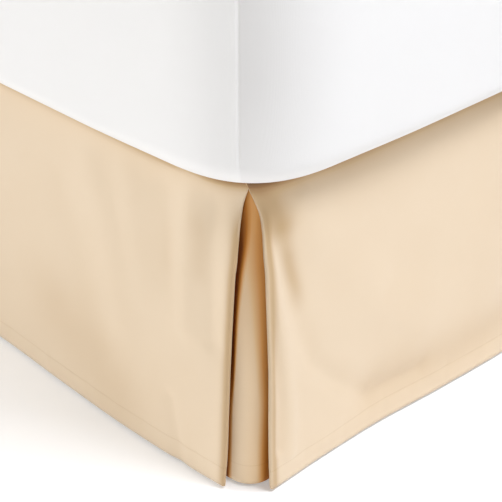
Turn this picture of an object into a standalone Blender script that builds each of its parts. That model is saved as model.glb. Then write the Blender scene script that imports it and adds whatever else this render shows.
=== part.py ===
"""A bed skirt on the bed that it hangs from.

Metres, +Z up, +Y toward the head of the bed, -Y toward its foot. The skirt is a deck sheet between
mattress and base, a drop on the foot end and on each side, and an inverted pleat at each foot
corner. The head end is open.
"""

import math

import bmesh
import bpy
from mathutils import Vector

# The bed
MATTRESS_WIDTH = 1.524
MATTRESS_LENGTH = 2.032
MATTRESS_HEIGHT = 0.300
MATTRESS_CORNER = 0.140
MATTRESS_CORNER_POWER = 2.6
MATTRESS_ROUNDING = 0.030
MATTRESS_CROWN = 0.010
MATTRESS_PANEL_INSET = 0.120
MATTRESS_PANEL_RISE = 0.006
BASE_HEIGHT = 0.200
BASE_INSET = 0.016
BASE_EDGE = 0.004
LEG_INSET = 0.110
LEG_TOP_RADIUS = 0.030
LEG_FOOT_RADIUS = 0.021

# The skirt
DROP = 0.381
CLOTH = 0.0015
OVERHANG = 0.0254
FOOT_CORNER_RADIUS = 0.070
HEAD_CORNER_RADIUS = 0.030
HEM_ABOVE_FLOOR = 0.004
FLARE_POWER = 0.85
ROUND_CORNER_FADE = 0.100
FOLD_START = 0.060
EDGE_REACH = 0.200
PLEAT_REACH = 0.088
PLEAT_GAP = 0.0012
PLEAT_SEWN_FROM = 0.045
PLEAT_SEWN_OVER = 0.035
PLEAT_CORNER_AT_HEM = 0.028
PLEAT_CORNER_FADE = 0.250
GAP = 0.0003
SEAM_GAP = 0.0008

DECK_WIDTH = MATTRESS_WIDTH - 2 * OVERHANG
DECK_LENGTH = MATTRESS_LENGTH - 2 * OVERHANG
SIDE_LENGTH = DECK_LENGTH - HEAD_CORNER_RADIUS
BASE_TOP = DROP - CLOTH - GAP
DROP_TOP = DROP - CLOTH - SEAM_GAP

# The cloth's rows, as distances down from the deck
ROWS = [0.0, 0.010, 0.024, 0.044, 0.074, 0.114, 0.164, 0.224, 0.294, 0.340,
        DROP - HEM_ABOVE_FLOOR]

# The cloth's columns, as distances from a folded edge: behind the panel, around the edge as a share
# of its half turn, and along the panel before its columns spread out evenly
RETURN_COLUMNS = [0.080, 0.060, 0.040, 0.020, 0.008]
ROLL_TURNS = [1.0, 0.8, 0.6, 0.4, 0.2]
FLAP_COLUMNS = [0.0, 0.010, 0.021, 0.033, 0.046, 0.060, 0.075, 0.091, 0.108, 0.126, 0.146, 0.168,
                0.192, 0.218, 0.247, 0.280, 0.318]
FAR_FLAP_COLUMNS = FLAP_COLUMNS[:10]
EVEN_COLUMN_WIDTH = 0.052

# How far the hem hangs out from the deck line: (along the face, out)
HEM_FOOT = [
    (0.00, 0.0140), (0.10, 0.0205), (0.21, 0.0230), (0.33, 0.0200), (0.47, 0.0150), (0.62, 0.0205),
    (0.80, 0.0170), (0.98, 0.0215), (1.14, 0.0165), (1.31, 0.0205), (1.48, 0.0150),
]
HEM_RIGHT = [
    (0.00, 0.0140), (0.11, 0.0095), (0.21, 0.0110), (0.32, 0.0185), (0.45, 0.0215), (0.62, 0.0145),
    (0.80, 0.0205), (1.00, 0.0160), (1.20, 0.0215), (1.42, 0.0150), (1.62, 0.0205), (1.80, 0.0165),
    (1.96, 0.0190),
]
HEM_LEFT = [
    (0.00, 0.0150), (0.13, 0.0195), (0.27, 0.0125), (0.43, 0.0200), (0.61, 0.0160), (0.78, 0.0215),
    (0.97, 0.0150), (1.15, 0.0205), (1.36, 0.0170), (1.55, 0.0215), (1.76, 0.0155), (1.96, 0.0185),
]

# Folded edges: how far each lies from the deck line's sharp corner and the radius that its cloth
# turns with: (down from the deck, along, radius)
EDGE_FOOT = [
    (0.000, 0.0258, 0.0015), (0.028, 0.0286, 0.0018), (0.050, 0.0270, 0.0020),
    (0.072, 0.0252, 0.0022), (0.105, 0.0248, 0.0027), (0.180, 0.0272, 0.0028),
    (0.276, 0.0285, 0.0028), (0.322, 0.0284, 0.0025), (0.358, 0.0302, 0.0020),
    (0.381, 0.0315, 0.0016),
]
EDGE_SIDE = [
    (0.000, 0.0176, 0.0015), (0.013, 0.0222, 0.0017), (0.025, 0.0247, 0.0020),
    (0.036, 0.0252, 0.0023), (0.067, 0.0212, 0.0033), (0.106, 0.0214, 0.0043),
    (0.161, 0.0230, 0.0044), (0.218, 0.0232, 0.0044), (0.276, 0.0224, 0.0043),
    (0.321, 0.0218, 0.0041), (0.359, 0.0211, 0.0030), (0.381, 0.0209, 0.0018),
]

# How far a pleat lies behind the panel in front of it: (down from the deck, depth)
PLEAT_DEPTH = [
    (0.000, 0.0058), (0.050, 0.0095), (0.100, 0.0130), (0.180, 0.0155), (0.280, 0.0162),
    (0.381, 0.0165),
]

# Soft folds in a drop: the line of each crest or trough as (along, height) points, its half width,
# and how far it stands out, less than nothing for a trough
FOLDS_FOOT = [
    {"line": [(0.092, 0.365), (0.096, 0.270), (0.094, 0.190)], "half_width": 0.016, "out": 0.0022},
    {"line": [(0.052, 0.360), (0.050, 0.270), (0.047, 0.190)], "half_width": 0.015, "out": -0.0022},
    {"line": [(0.195, 0.340), (0.178, 0.270), (0.166, 0.200)], "half_width": 0.020, "out": 0.0020},
    {"line": [(0.132, 0.345), (0.130, 0.240)], "half_width": 0.016, "out": -0.0018},
    {"line": [(0.262, 0.330), (0.228, 0.250), (0.198, 0.150)], "half_width": 0.024, "out": 0.0026},
    {"line": [(0.315, 0.290), (0.275, 0.200), (0.235, 0.100)], "half_width": 0.026, "out": -0.0026},
    {"line": [(0.118, 0.085), (0.100, 0.010)], "half_width": 0.011, "out": -0.0022},
    {"line": [(0.470, 0.340), (0.505, 0.120)], "half_width": 0.045, "out": 0.0030},
    {"line": [(0.690, 0.350), (0.670, 0.090)], "half_width": 0.040, "out": -0.0028},
    {"line": [(0.900, 0.340), (0.860, 0.080)], "half_width": 0.050, "out": 0.0032},
    {"line": [(1.090, 0.350), (1.110, 0.120)], "half_width": 0.038, "out": -0.0030},
    {"line": [(1.270, 0.330), (1.230, 0.100)], "half_width": 0.040, "out": 0.0030},
    {"line": [(1.400, 0.340), (1.385, 0.150)], "half_width": 0.016, "out": -0.0026},
]
FOLDS_RIGHT = [
    {"line": [(0.034, 0.360), (0.044, 0.297), (0.056, 0.236), (0.087, 0.147)],
     "half_width": 0.013, "out": -0.0045},
    {"line": [(0.087, 0.147), (0.135, 0.095), (0.188, 0.050)], "half_width": 0.018, "out": -0.0045},
    {"line": [(0.188, 0.050), (0.276, 0.048)], "half_width": 0.017, "out": -0.0025},
    {"line": [(0.016, 0.355), (0.024, 0.310), (0.036, 0.245), (0.052, 0.150), (0.054, 0.040)],
     "half_width": 0.014, "out": 0.0036},
    {"line": [(0.070, 0.340), (0.110, 0.300), (0.150, 0.246), (0.193, 0.183), (0.271, 0.115)],
     "half_width": 0.036, "out": 0.0036},
    {"line": [(0.300, 0.190), (0.226, 0.212)], "half_width": 0.030, "out": -0.0022},
    {"line": [(0.430, 0.350), (0.400, 0.120)], "half_width": 0.040, "out": 0.0030},
    {"line": [(0.600, 0.340), (0.640, 0.090)], "half_width": 0.045, "out": -0.0032},
    {"line": [(0.820, 0.350), (0.790, 0.100)], "half_width": 0.048, "out": 0.0030},
    {"line": [(1.020, 0.340), (1.050, 0.090)], "half_width": 0.040, "out": -0.0028},
    {"line": [(1.240, 0.350), (1.200, 0.080)], "half_width": 0.050, "out": 0.0034},
    {"line": [(1.440, 0.340), (1.450, 0.110)], "half_width": 0.042, "out": -0.0030},
    {"line": [(1.660, 0.350), (1.620, 0.100)], "half_width": 0.046, "out": 0.0030},
    {"line": [(1.840, 0.330), (1.860, 0.120)], "half_width": 0.036, "out": -0.0026},
]
FOLDS_LEFT = [
    {"line": [(0.050, 0.350), (0.064, 0.250), (0.085, 0.140)], "half_width": 0.015, "out": -0.0038},
    {"line": [(0.100, 0.345), (0.130, 0.200), (0.125, 0.070)], "half_width": 0.026, "out": 0.0032},
    {"line": [(0.210, 0.340), (0.250, 0.110)], "half_width": 0.034, "out": -0.0030},
    {"line": [(0.390, 0.350), (0.420, 0.100)], "half_width": 0.042, "out": 0.0030},
    {"line": [(0.590, 0.340), (0.560, 0.110)], "half_width": 0.040, "out": -0.0028},
    {"line": [(0.790, 0.350), (0.830, 0.090)], "half_width": 0.050, "out": 0.0034},
    {"line": [(1.010, 0.340), (0.980, 0.100)], "half_width": 0.044, "out": -0.0030},
    {"line": [(1.190, 0.350), (1.220, 0.110)], "half_width": 0.040, "out": 0.0028},
    {"line": [(1.410, 0.340), (1.380, 0.080)], "half_width": 0.048, "out": -0.0032},
    {"line": [(1.620, 0.350), (1.650, 0.100)], "half_width": 0.044, "out": 0.0030},
    {"line": [(1.830, 0.330), (1.810, 0.120)], "half_width": 0.034, "out": -0.0024},
]

# Each face starts at a foot corner of the deck line and runs along it; out points off the bed
FACES = {
    "foot": {
        "corner": Vector((DECK_WIDTH / 2, -DECK_LENGTH / 2, 0.0)),
        "along": Vector((-1.0, 0.0, 0.0)),
        "out": Vector((0.0, -1.0, 0.0)),
        "length": DECK_WIDTH,
        "edges": (EDGE_FOOT, EDGE_FOOT),
        "hem": HEM_FOOT,
        "folds": FOLDS_FOOT,
    },
    "right": {
        "corner": Vector((DECK_WIDTH / 2, -DECK_LENGTH / 2, 0.0)),
        "along": Vector((0.0, 1.0, 0.0)),
        "out": Vector((1.0, 0.0, 0.0)),
        "length": SIDE_LENGTH,
        "edges": (EDGE_SIDE, None),
        "hem": HEM_RIGHT,
        "folds": FOLDS_RIGHT,
    },
    "left": {
        "corner": Vector((-DECK_WIDTH / 2, -DECK_LENGTH / 2, 0.0)),
        "along": Vector((0.0, 1.0, 0.0)),
        "out": Vector((-1.0, 0.0, 0.0)),
        "length": SIDE_LENGTH,
        "edges": (EDGE_SIDE, None),
        "hem": HEM_LEFT,
        "folds": FOLDS_LEFT,
    },
}


def material(name, color, roughness):
    """A Principled material of one colour."""
    made = bpy.data.materials.new(name)
    made.use_nodes = True
    shader = made.node_tree.nodes["Principled BSDF"]
    shader.inputs["Base Color"].default_value = (*color, 1.0)
    shader.inputs["Roughness"].default_value = roughness
    shader.inputs["Metallic"].default_value = 0.0
    return made


def finish(bm, name, surface, sharp_angle=0.7):
    """Turn a bmesh into a named, smooth shaded object."""
    mesh = bpy.data.meshes.new(name)
    bm.to_mesh(mesh)
    bm.free()
    mesh.shade_smooth()
    mesh.set_sharp_from_angle(angle=sharp_angle)
    mesh.materials.append(surface)
    made = bpy.data.objects.new(name, mesh)
    bpy.context.collection.objects.link(made)
    return made


def ease(value):
    """A smooth step from 0 to 1."""
    held = min(1.0, max(0.0, value))
    return held * held * (3.0 - 2.0 * held)


def read_curve(table, place, column=1):
    """A smooth curve through one column of a table whose first column is the place."""
    if place <= table[0][0]:
        return table[0][column]
    if place >= table[-1][0]:
        return table[-1][column]
    index = max(i for i, row in enumerate(table) if row[0] <= place)
    before = table[max(index - 1, 0)]
    start, end = table[index], table[index + 1]
    after = table[min(index + 2, len(table) - 1)]
    span = end[0] - start[0]
    slope_in = (end[column] - before[column]) / (end[0] - before[0])
    slope_out = (after[column] - start[column]) / (after[0] - start[0])
    part = (place - start[0]) / span
    rise = part * part * (3.0 - 2.0 * part)
    bend_in = part * (1.0 - part) ** 2 * span * slope_in
    bend_out = -part * part * (1.0 - part) * span * slope_out
    return start[column] + (end[column] - start[column]) * rise + bend_in + bend_out


def distance_to_line(point, line):
    """The shortest distance from a point on the face to a line of points."""
    nearest = float("inf")
    for (a0, z0), (a1, z1) in zip(line, line[1:]):
        run, climb = a1 - a0, z1 - z0
        part = ((point[0] - a0) * run + (point[1] - z0) * climb) / (run * run + climb * climb)
        part = min(1.0, max(0.0, part))
        nearest = min(nearest, math.hypot(point[0] - a0 - part * run, point[1] - z0 - part * climb))
    return nearest


def corner_inset(distance, radius):
    """How far a round corner lies inside the sharp one, this far along the face from it."""
    if distance >= radius:
        return 0.0
    across = radius - max(distance, 0.0)
    return radius - math.sqrt(radius * radius - across * across)


def roll_radius(edge, down):
    """Radius that the cloth turns with at a folded edge."""
    return read_curve(edge, down, column=2)


def flare(face, along, down):
    """How far a drop's middle surface hangs out from the deck line before its folds."""
    return read_curve(face["hem"], along) * (down / DROP) ** FLARE_POWER - CLOTH / 2


def folds(face, along, down):
    """How far the soft folds lift a drop's surface, nothing where the seam holds it flat."""
    lift = 0.0
    for fold in face["folds"]:
        away = distance_to_line((along, DROP - down), fold["line"]) / fold["half_width"]
        lift += fold["out"] * math.exp(-away * away)
    return lift * ease(down / FOLD_START)


def panel_point(face, column, down, folded=True):
    """A drop's outer panel in its face's plan: (along, out) for a column of its cloth."""
    first, last = face["edges"]
    along = column
    if first:
        edge = read_curve(first, down) + roll_radius(first, down)
        along += edge * math.exp(-column / EDGE_REACH)
    if last:
        edge = read_curve(last, down) + roll_radius(last, down)
        along -= edge * math.exp(-(face["length"] - column) / EDGE_REACH)
    rounded = 1.0 - ease(down / ROUND_CORNER_FADE)
    out = flare(face, along, down) - rounded * corner_inset(along, FOOT_CORNER_RADIUS)
    if last:
        out -= rounded * corner_inset(face["length"] - along, FOOT_CORNER_RADIUS)
    if folded:
        out += folds(face, along, down)
    return Vector((along, out))


def return_point(face, column, down, radius):
    """The flat cloth behind a flap, twice the roll's radius inside the unfolded panel."""
    step = 0.0005
    before = panel_point(face, column - step, down, folded=False)
    after = panel_point(face, column + step, down, folded=False)
    heading = (after - before).normalized()
    outward = Vector((-heading.y, heading.x))
    here = panel_point(face, column, down, folded=False)
    return here - outward * 2.0 * radius, heading


def flap_points(face, down, at_far_end):
    """The return and the rolled edge of a flap in plan, from the return's end to the panel."""
    sign = -1.0 if at_far_end else 1.0
    start = face["length"] if at_far_end else 0.0
    radius = roll_radius(face["edges"][1 if at_far_end else 0], down)
    points = []
    for column in RETURN_COLUMNS:
        points.append(return_point(face, start + sign * column, down, radius)[0])
    inner, heading = return_point(face, start, down, radius)
    outer = panel_point(face, start, down)
    middle = (inner + outer) / 2
    for turn in ROLL_TURNS:
        angle = math.pi * turn
        reach = sign * heading * radius * math.sin(angle)
        points.append(middle + (outer - middle) * math.cos(angle) - reach)
    return points


def columns(length, has_far_flap):
    """Columns of a panel, close together by its folded edges and wider apart between them."""
    far_flap = FAR_FLAP_COLUMNS if has_far_flap else [0.0]
    first = FLAP_COLUMNS[-1]
    last = length - far_flap[-1]
    count = round((last - first) / EVEN_COLUMN_WIDTH)
    middle = [first + (last - first) * i / count for i in range(1, count)]
    return FLAP_COLUMNS + middle + [length - column for column in reversed(far_flap)]


def sheet(rows_of_points, name, surface):
    """A sheet of cloth through a grid of points, with its thickness on both sides."""
    bm = bmesh.new()
    grid = [[bm.verts.new(point) for point in row] for row in rows_of_points]
    for upper, lower in zip(grid, grid[1:]):
        for left, right, low_right, low_left in zip(upper, upper[1:], lower[1:], lower):
            bm.faces.new((left, right, low_right, low_left))
    made = finish(bm, name, surface, sharp_angle=1.2)
    solidify = made.modifiers.new("Thickness", "SOLIDIFY")
    solidify.thickness = CLOTH
    solidify.offset = 0.0
    solidify.use_even_offset = True
    return made


def to_world(face, point, down):
    """A plan point of a face at a distance below the deck."""
    height = max(DROP_TOP - down, HEM_ABOVE_FLOOR)
    return face["corner"] + face["along"] * point.x + face["out"] * point.y + Vector((0, 0, height))


def drop(side, surface):
    """One hemmed drop with its folded edges and returns."""
    face = FACES[side]
    far_flap = face["edges"][1] is not None
    rows = []
    for down in ROWS:
        plan = flap_points(face, down, False)
        plan += [panel_point(face, column, down) for column in columns(face["length"], far_flap)]
        if far_flap:
            plan += reversed(flap_points(face, down, True))
        rows.append([to_world(face, point, down) for point in plan])
    return sheet(rows, "drop_" + side, surface)


def pleat_depth(edge, along, down):
    """How far the pleat lies behind the panel in front of it, least where it is sewn to the return."""
    deepest = read_curve(PLEAT_DEPTH, down)
    sewn = 2.0 * roll_radius(edge, down) + CLOTH + PLEAT_GAP
    joined = ease((along - PLEAT_SEWN_FROM) / PLEAT_SEWN_OVER)
    return deepest + (min(sewn, deepest) - deepest) * joined


def pleat_arm(face, start, down, at_far_end=False):
    """The pleat's straight part along one face, from its round corner to its sewn end."""
    count = 5
    edge = face["edges"][0]
    points = []
    for i in range(count + 1):
        along = start + (PLEAT_REACH - start) * i / count
        place = face["length"] - along if at_far_end else along
        points.append((along, flare(face, place, down) - pleat_depth(edge, along, down)))
    return points


def pleat(side, surface):
    """The insert behind the two folded edges at a foot corner, rounded about the corner."""
    foot = FACES["foot"]
    flank = FACES[side]
    at_left = side == "left"
    top_radius = FOOT_CORNER_RADIUS - PLEAT_DEPTH[0][1]
    turns = 9
    rows = []
    for down in ROWS:
        spread = ease(down / PLEAT_CORNER_FADE)
        radius = top_radius + (PLEAT_CORNER_AT_HEM - top_radius) * spread
        foot_out = pleat_arm(foot, radius, down, at_left)[0][1]
        side_out = pleat_arm(flank, radius, down)[0][1]
        foot_arm = pleat_arm(foot, radius - side_out, down, at_left)
        side_arm = pleat_arm(flank, radius - foot_out, down)
        plan = [(-along, -out) for along, out in reversed(foot_arm[1:])]
        for turn in range(turns + 1):
            angle = math.pi / 2 * turn / turns
            plan.append((side_out - radius + radius * math.sin(angle),
                         -foot_out + radius - radius * math.cos(angle)))
        plan += [(out, along) for along, out in side_arm[1:]]
        corner = flank["corner"]
        height = max(DROP_TOP - down, HEM_ABOVE_FLOOR)
        rows.append([Vector((corner.x + flank["out"].x * x, corner.y + y, height)) for x, y in plan])
    return sheet(rows, "pleat_" + side, surface)


def rounded_outline(half_width, half_length, foot_radius, head_radius, steps=6):
    """Plan outline of a box with round corners, in order round it."""
    points = []
    quarters = [(1, -1, foot_radius, -0.5), (1, 1, head_radius, 0.0),
                (-1, 1, head_radius, 0.5), (-1, -1, foot_radius, 1.0)]
    for sx, sy, radius, first in quarters:
        for i in range(steps + 1):
            angle = math.pi * (first + 0.5 * i / steps)
            points.append((sx * (half_width - radius) + radius * math.cos(angle),
                           sy * (half_length - radius) + radius * math.sin(angle)))
    return points


def slab(outline, bottom, top, name, surface, bevel=0.0):
    """A flat outline with a height, its edges rounded by a bevel."""
    bm = bmesh.new()
    face = bm.faces.new([bm.verts.new((x, y, bottom)) for x, y in outline])
    raised = bmesh.ops.extrude_face_region(bm, geom=[face])
    moved = [item for item in raised["geom"] if isinstance(item, bmesh.types.BMVert)]
    bmesh.ops.translate(bm, verts=moved, vec=(0.0, 0.0, top - bottom))
    bmesh.ops.recalc_face_normals(bm, faces=bm.faces)
    if bevel:
        rims = [edge for edge in bm.edges
                if abs(edge.verts[0].co.z - edge.verts[1].co.z) < 1e-6]
        bmesh.ops.bevel(bm, geom=rims, offset=bevel, segments=2, profile=0.5, affect="EDGES")
    return finish(bm, name, surface)


def mattress_ring(inset, z):
    """One level of the mattress, its corners a squared curve that draws in with the inset."""
    half_width = MATTRESS_WIDTH / 2 - inset
    half_length = MATTRESS_LENGTH / 2 - inset
    radius = MATTRESS_CORNER - inset
    power = 2.0 / MATTRESS_CORNER_POWER
    corner_steps, side_steps = 7, 4
    corners = []
    for sx, sy, first in ((1, -1, -0.5), (1, 1, 0.0), (-1, 1, 0.5), (-1, -1, 1.0)):
        corner = []
        for i in range(corner_steps + 1):
            angle = math.pi * (first + 0.5 * i / corner_steps)
            across = math.copysign(abs(math.cos(angle)) ** power, math.cos(angle))
            forward = math.copysign(abs(math.sin(angle)) ** power, math.sin(angle))
            corner.append(Vector((sx * (half_width - radius) + radius * across,
                                  sy * (half_length - radius) + radius * forward, z)))
        corners.append(corner)
    ring = []
    for corner, following in zip(corners, corners[1:] + corners[:1]):
        ring += corner
        ring += [corner[-1].lerp(following[0], i / side_steps) for i in range(1, side_steps)]
    return ring


def mattress(surface):
    """The mattress, with round edges above and below and a slightly crowned top."""
    bottom = DROP + GAP
    top = bottom + MATTRESS_HEIGHT - MATTRESS_CROWN
    edge = MATTRESS_ROUNDING
    levels = [(MATTRESS_PANEL_INSET, bottom)]
    for angle in (0.0, 0.35, 0.7, 1.05, math.pi / 2):
        levels.append((edge * (1.0 - math.sin(angle)), bottom + edge * (1.0 - math.cos(angle))))
    for angle in (0.0, 0.4, 0.8, 1.2, math.pi / 2):
        levels.append((edge * (1.0 - math.cos(angle)), top - edge * (1.0 - math.sin(angle))))
    levels.append((MATTRESS_PANEL_INSET, top + MATTRESS_PANEL_RISE))
    bm = bmesh.new()
    rings = [[bm.verts.new(point) for point in mattress_ring(inset, z)] for inset, z in levels]
    for low, high in zip(rings, rings[1:]):
        count = len(low)
        for i in range(count):
            bm.faces.new((low[i], low[(i + 1) % count], high[(i + 1) % count], high[i]))
    bm.faces.new(reversed(rings[0]))
    lid = bm.faces.new(rings[-1])
    crown = bmesh.ops.poke(bm, faces=[lid])
    crown["verts"][0].co.z = bottom + MATTRESS_HEIGHT
    bmesh.ops.recalc_face_normals(bm, faces=bm.faces)
    return finish(bm, "mattress", surface)


def leg(x, y, name, surface):
    """A turned leg, narrower at the floor."""
    top = BASE_TOP - BASE_HEIGHT - GAP
    bm = bmesh.new()
    bmesh.ops.create_cone(bm, cap_ends=True, segments=20, radius1=LEG_FOOT_RADIUS,
                          radius2=LEG_TOP_RADIUS, depth=top)
    made = finish(bm, name, surface)
    made.location = (x, y, top / 2)
    return made


def main():
    for old in list(bpy.data.objects):
        bpy.data.objects.remove(old, do_unlink=True)

    beige = (0.78, 0.66, 0.50)
    skirt_cloth = material("skirt cloth", beige, 0.55)
    deck_cloth = material("deck cloth", beige, 0.70)
    sheet_cloth = material("fitted sheet", (0.87, 0.87, 0.86), 0.80)
    base_cloth = material("base cover", (0.62, 0.60, 0.57), 0.85)
    leg_wood = material("leg wood", (0.23, 0.13, 0.07), 0.45)

    mattress(sheet_cloth)
    deck = rounded_outline(DECK_WIDTH / 2, DECK_LENGTH / 2, FOOT_CORNER_RADIUS, HEAD_CORNER_RADIUS)
    slab(deck, DROP - CLOTH, DROP, "deck", deck_cloth)

    base = rounded_outline(DECK_WIDTH / 2 - BASE_INSET, DECK_LENGTH / 2 - BASE_INSET,
                           FOOT_CORNER_RADIUS - BASE_INSET, HEAD_CORNER_RADIUS - BASE_INSET)
    slab(base, BASE_TOP - BASE_HEIGHT, BASE_TOP, "base", base_cloth, bevel=BASE_EDGE)

    reach_x = DECK_WIDTH / 2 - LEG_INSET
    reach_y = DECK_LENGTH / 2 - LEG_INSET
    for row, y in (("foot", -reach_y), ("mid", 0.0), ("head", reach_y)):
        leg(-reach_x, y, "leg_" + row + "_left", leg_wood)
        leg(reach_x, y, "leg_" + row + "_right", leg_wood)

    for side in FACES:
        drop(side, skirt_cloth)
    for side in ("left", "right"):
        pleat(side, skirt_cloth)


main()
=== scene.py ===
import math

import bmesh
import bpy
import numpy as np
from mathutils import Matrix, Vector


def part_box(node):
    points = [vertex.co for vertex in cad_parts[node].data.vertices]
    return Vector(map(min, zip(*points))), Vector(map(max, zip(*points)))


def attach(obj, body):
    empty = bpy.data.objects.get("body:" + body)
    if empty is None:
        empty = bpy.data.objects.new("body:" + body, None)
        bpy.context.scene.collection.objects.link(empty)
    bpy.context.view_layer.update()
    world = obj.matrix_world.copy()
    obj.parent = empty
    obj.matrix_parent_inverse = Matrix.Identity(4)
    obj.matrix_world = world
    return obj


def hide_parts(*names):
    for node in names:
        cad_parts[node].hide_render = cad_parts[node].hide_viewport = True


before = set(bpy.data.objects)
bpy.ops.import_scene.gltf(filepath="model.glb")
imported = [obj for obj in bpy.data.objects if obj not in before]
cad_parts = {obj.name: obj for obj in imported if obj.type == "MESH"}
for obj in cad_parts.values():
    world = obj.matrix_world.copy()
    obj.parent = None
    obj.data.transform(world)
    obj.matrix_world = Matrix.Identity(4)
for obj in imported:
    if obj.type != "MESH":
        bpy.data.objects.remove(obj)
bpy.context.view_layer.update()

# The bed skirt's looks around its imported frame. Metres, +Z up, the foot of the bed toward -Y.
# Every sheet of cloth is a grid that is laid where its CAD solid hangs, with finer folds on it.

deckLow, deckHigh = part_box("deck")
mattressLow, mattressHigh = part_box("mattress")
baseLow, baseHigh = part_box("base")

skirt = {
    "cloth": 0.0015,  # thickness
    "hemAboveFloor": 0.004,
    "hemDepth": 0.025,
    "topBelowDeck": 0.0023,  # where the drop's table of shapes starts, under the deck's upper face
    "flarePower": 0.85,
    "cornerRadius": 0.082,
    "cornerFade": 0.100,
    "foldStart": 0.035,
    "edgeReach": 0.200,
    "rollSpan": 0.012,  # cloth that a folded edge takes up
    "returnWidth": 0.080,
    "edgeRadius": 0.0024,  # the largest that a folded edge turns with
    "tuckFade": 0.080,  # how far down the drops are drawn in under the mattress
    "lapFade": 0.060,  # where one flap lies over the other at the top
    "lapReach": 0.030,
    "seamRadius": 0.0034,  # how the top turns in over the deck
    "seamLap": 0.013,
    "turnStart": 0.020,  # how far from a folded edge the turn over the deck is complete
    "cornerLift": 0.0021,  # how much higher the top reaches where the mattress's corner is round
    "liftReach": 0.045,
    "hemFold": 0.012,  # cloth that the hem's inner fold takes up
}

deckTop = deckHigh.z
deckWidth = deckHigh.x - deckLow.x
deckLength = deckHigh.y - deckLow.y
headCorner = 0.030  # the side drops end before the deck's head corners
sideLength = deckLength - headCorner


# Numbers and lines


def ease(value):
    held = np.clip(value, 0.0, 1.0)
    return held * held * (3.0 - 2.0 * held)


def bump(distance, width):  # 1 on a line, fading to nothing at about twice its width
    return np.exp(-(distance / width) ** 2)


def readCurve(table, place, column=1):  # a smooth curve through a table's rows
    rows = np.array(table, float)
    places, values = rows[:, 0], rows[:, column]
    slopes = np.empty(len(places))
    slopes[1:-1] = (values[2:] - values[:-2]) / (places[2:] - places[:-2])
    slopes[0] = (values[1] - values[0]) / (places[1] - places[0])
    slopes[-1] = (values[-1] - values[-2]) / (places[-1] - places[-2])
    held = np.clip(place, places[0], places[-1])
    index = np.clip(np.searchsorted(places, held, side="right") - 1, 0, len(places) - 2)
    span = places[index + 1] - places[index]
    part = (held - places[index]) / span
    rise = part * part * (3.0 - 2.0 * part)
    bend = part * (1.0 - part) ** 2 * slopes[index] - part * part * (1.0 - part) * slopes[index + 1]
    return values[index] + (values[index + 1] - values[index]) * rise + span * bend


def nearLine(along, height, line):  # distance from a line of points, and how far along it
    nearest = np.full(np.shape(along), 1e9)
    place = np.zeros(np.shape(along))
    lengths = [math.hypot(b[0] - a[0], b[1] - a[1]) for a, b in zip(line, line[1:])]
    done = 0.0
    for (a0, z0), (a1, z1), length in zip(line, line[1:], lengths):
        run, climb = a1 - a0, z1 - z0
        part = ((along - a0) * run + (height - z0) * climb) / length ** 2
        part = np.clip(part, 0.0, 1.0)
        away = np.hypot(along - a0 - part * run, height - z0 - part * climb)
        closer = away < nearest
        place = np.where(closer, (done + part * length) / sum(lengths), place)
        nearest = np.where(closer, away, nearest)
        done += length
    return nearest, place


def foldLift(folds, along, height):  # how far a list of folds lifts the cloth
    lift = np.zeros(np.shape(along))
    for line, width, out, *taper in folds:
        away, place = nearLine(along, height, line)
        shape = bump(away, width)
        if taper:
            shape *= ease(place / taper[0]) * ease((1.0 - place) / taper[0])
        lift += out * shape
    return lift


def ticks(zones):  # places along an axis, from (start, end, step) zones
    places = [zones[0][0]]
    for start, end, step in zones:
        count = max(1, round(abs(end - start) / step))
        places += [start + (end - start) * i / count for i in range(1, count + 1)]
    return np.array(places)


def bandTicks(half, bands, step):  # from -half to half, with (reach, step) bands in from each end
    zones, place = [], -half
    for reach, fine in bands:
        zones.append((place, reach - half, fine))
        place = reach - half
    mirrored = [(-end, -start, fine) for start, end, fine in reversed(zones)]
    return ticks(zones + [(place, -place, step)] + mirrored)


def pick(places, shares):  # the places that vertices stand at, from their shares of a grid
    return places[np.rint(shares * (len(places) - 1)).astype(int)]


# Meshes


def finishPiece(bm, name, material, sharp=1.2):
    mesh = bpy.data.meshes.new(name)
    bm.to_mesh(mesh)
    bm.free()
    mesh.shade_smooth()
    mesh.set_sharp_from_angle(angle=sharp)
    mesh.materials.append(material)
    piece = bpy.data.objects.new(name, mesh)
    bpy.context.scene.collection.objects.link(piece)
    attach(piece, "root")
    return piece


def clothSheet(name, columns, rows, place, material):
    # a grid of cloth: columns and rows are its places in metres, place gives points for them
    bm = bmesh.new()
    bmesh.ops.create_grid(bm, x_segments=len(columns) - 1, y_segments=len(rows) - 1, size=0.5)
    flat = np.array([vert.co[:2] for vert in bm.verts]) + 0.5
    column, row = pick(columns, flat[:, 0]), pick(rows, flat[:, 1])
    points = place(column, row)
    uvLayer = bm.loops.layers.uv.new("cloth")
    for vert, point in zip(bm.verts, points):
        vert.co = point
    for vert, u, v in zip(bm.verts, column, row):
        for loop in vert.link_loops:
            loop[uvLayer].uv = (u, v)
    piece = finishPiece(bm, name, material)
    solidify = piece.modifiers.new("thickness", "SOLIDIFY")
    solidify.thickness = skirt["cloth"]
    solidify.offset = 0.0
    solidify.use_even_offset = True
    solidify.thickness_clamp = 0.0
    return piece


def writeShade(piece, values):  # the painted shade that Paint.shaded reads
    shade = piece.data.attributes.new("shade", "FLOAT", "POINT")
    shade.data.foreach_set("value", np.clip(values, 0.0, 1.0).astype(np.float32))


# Materials


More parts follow.
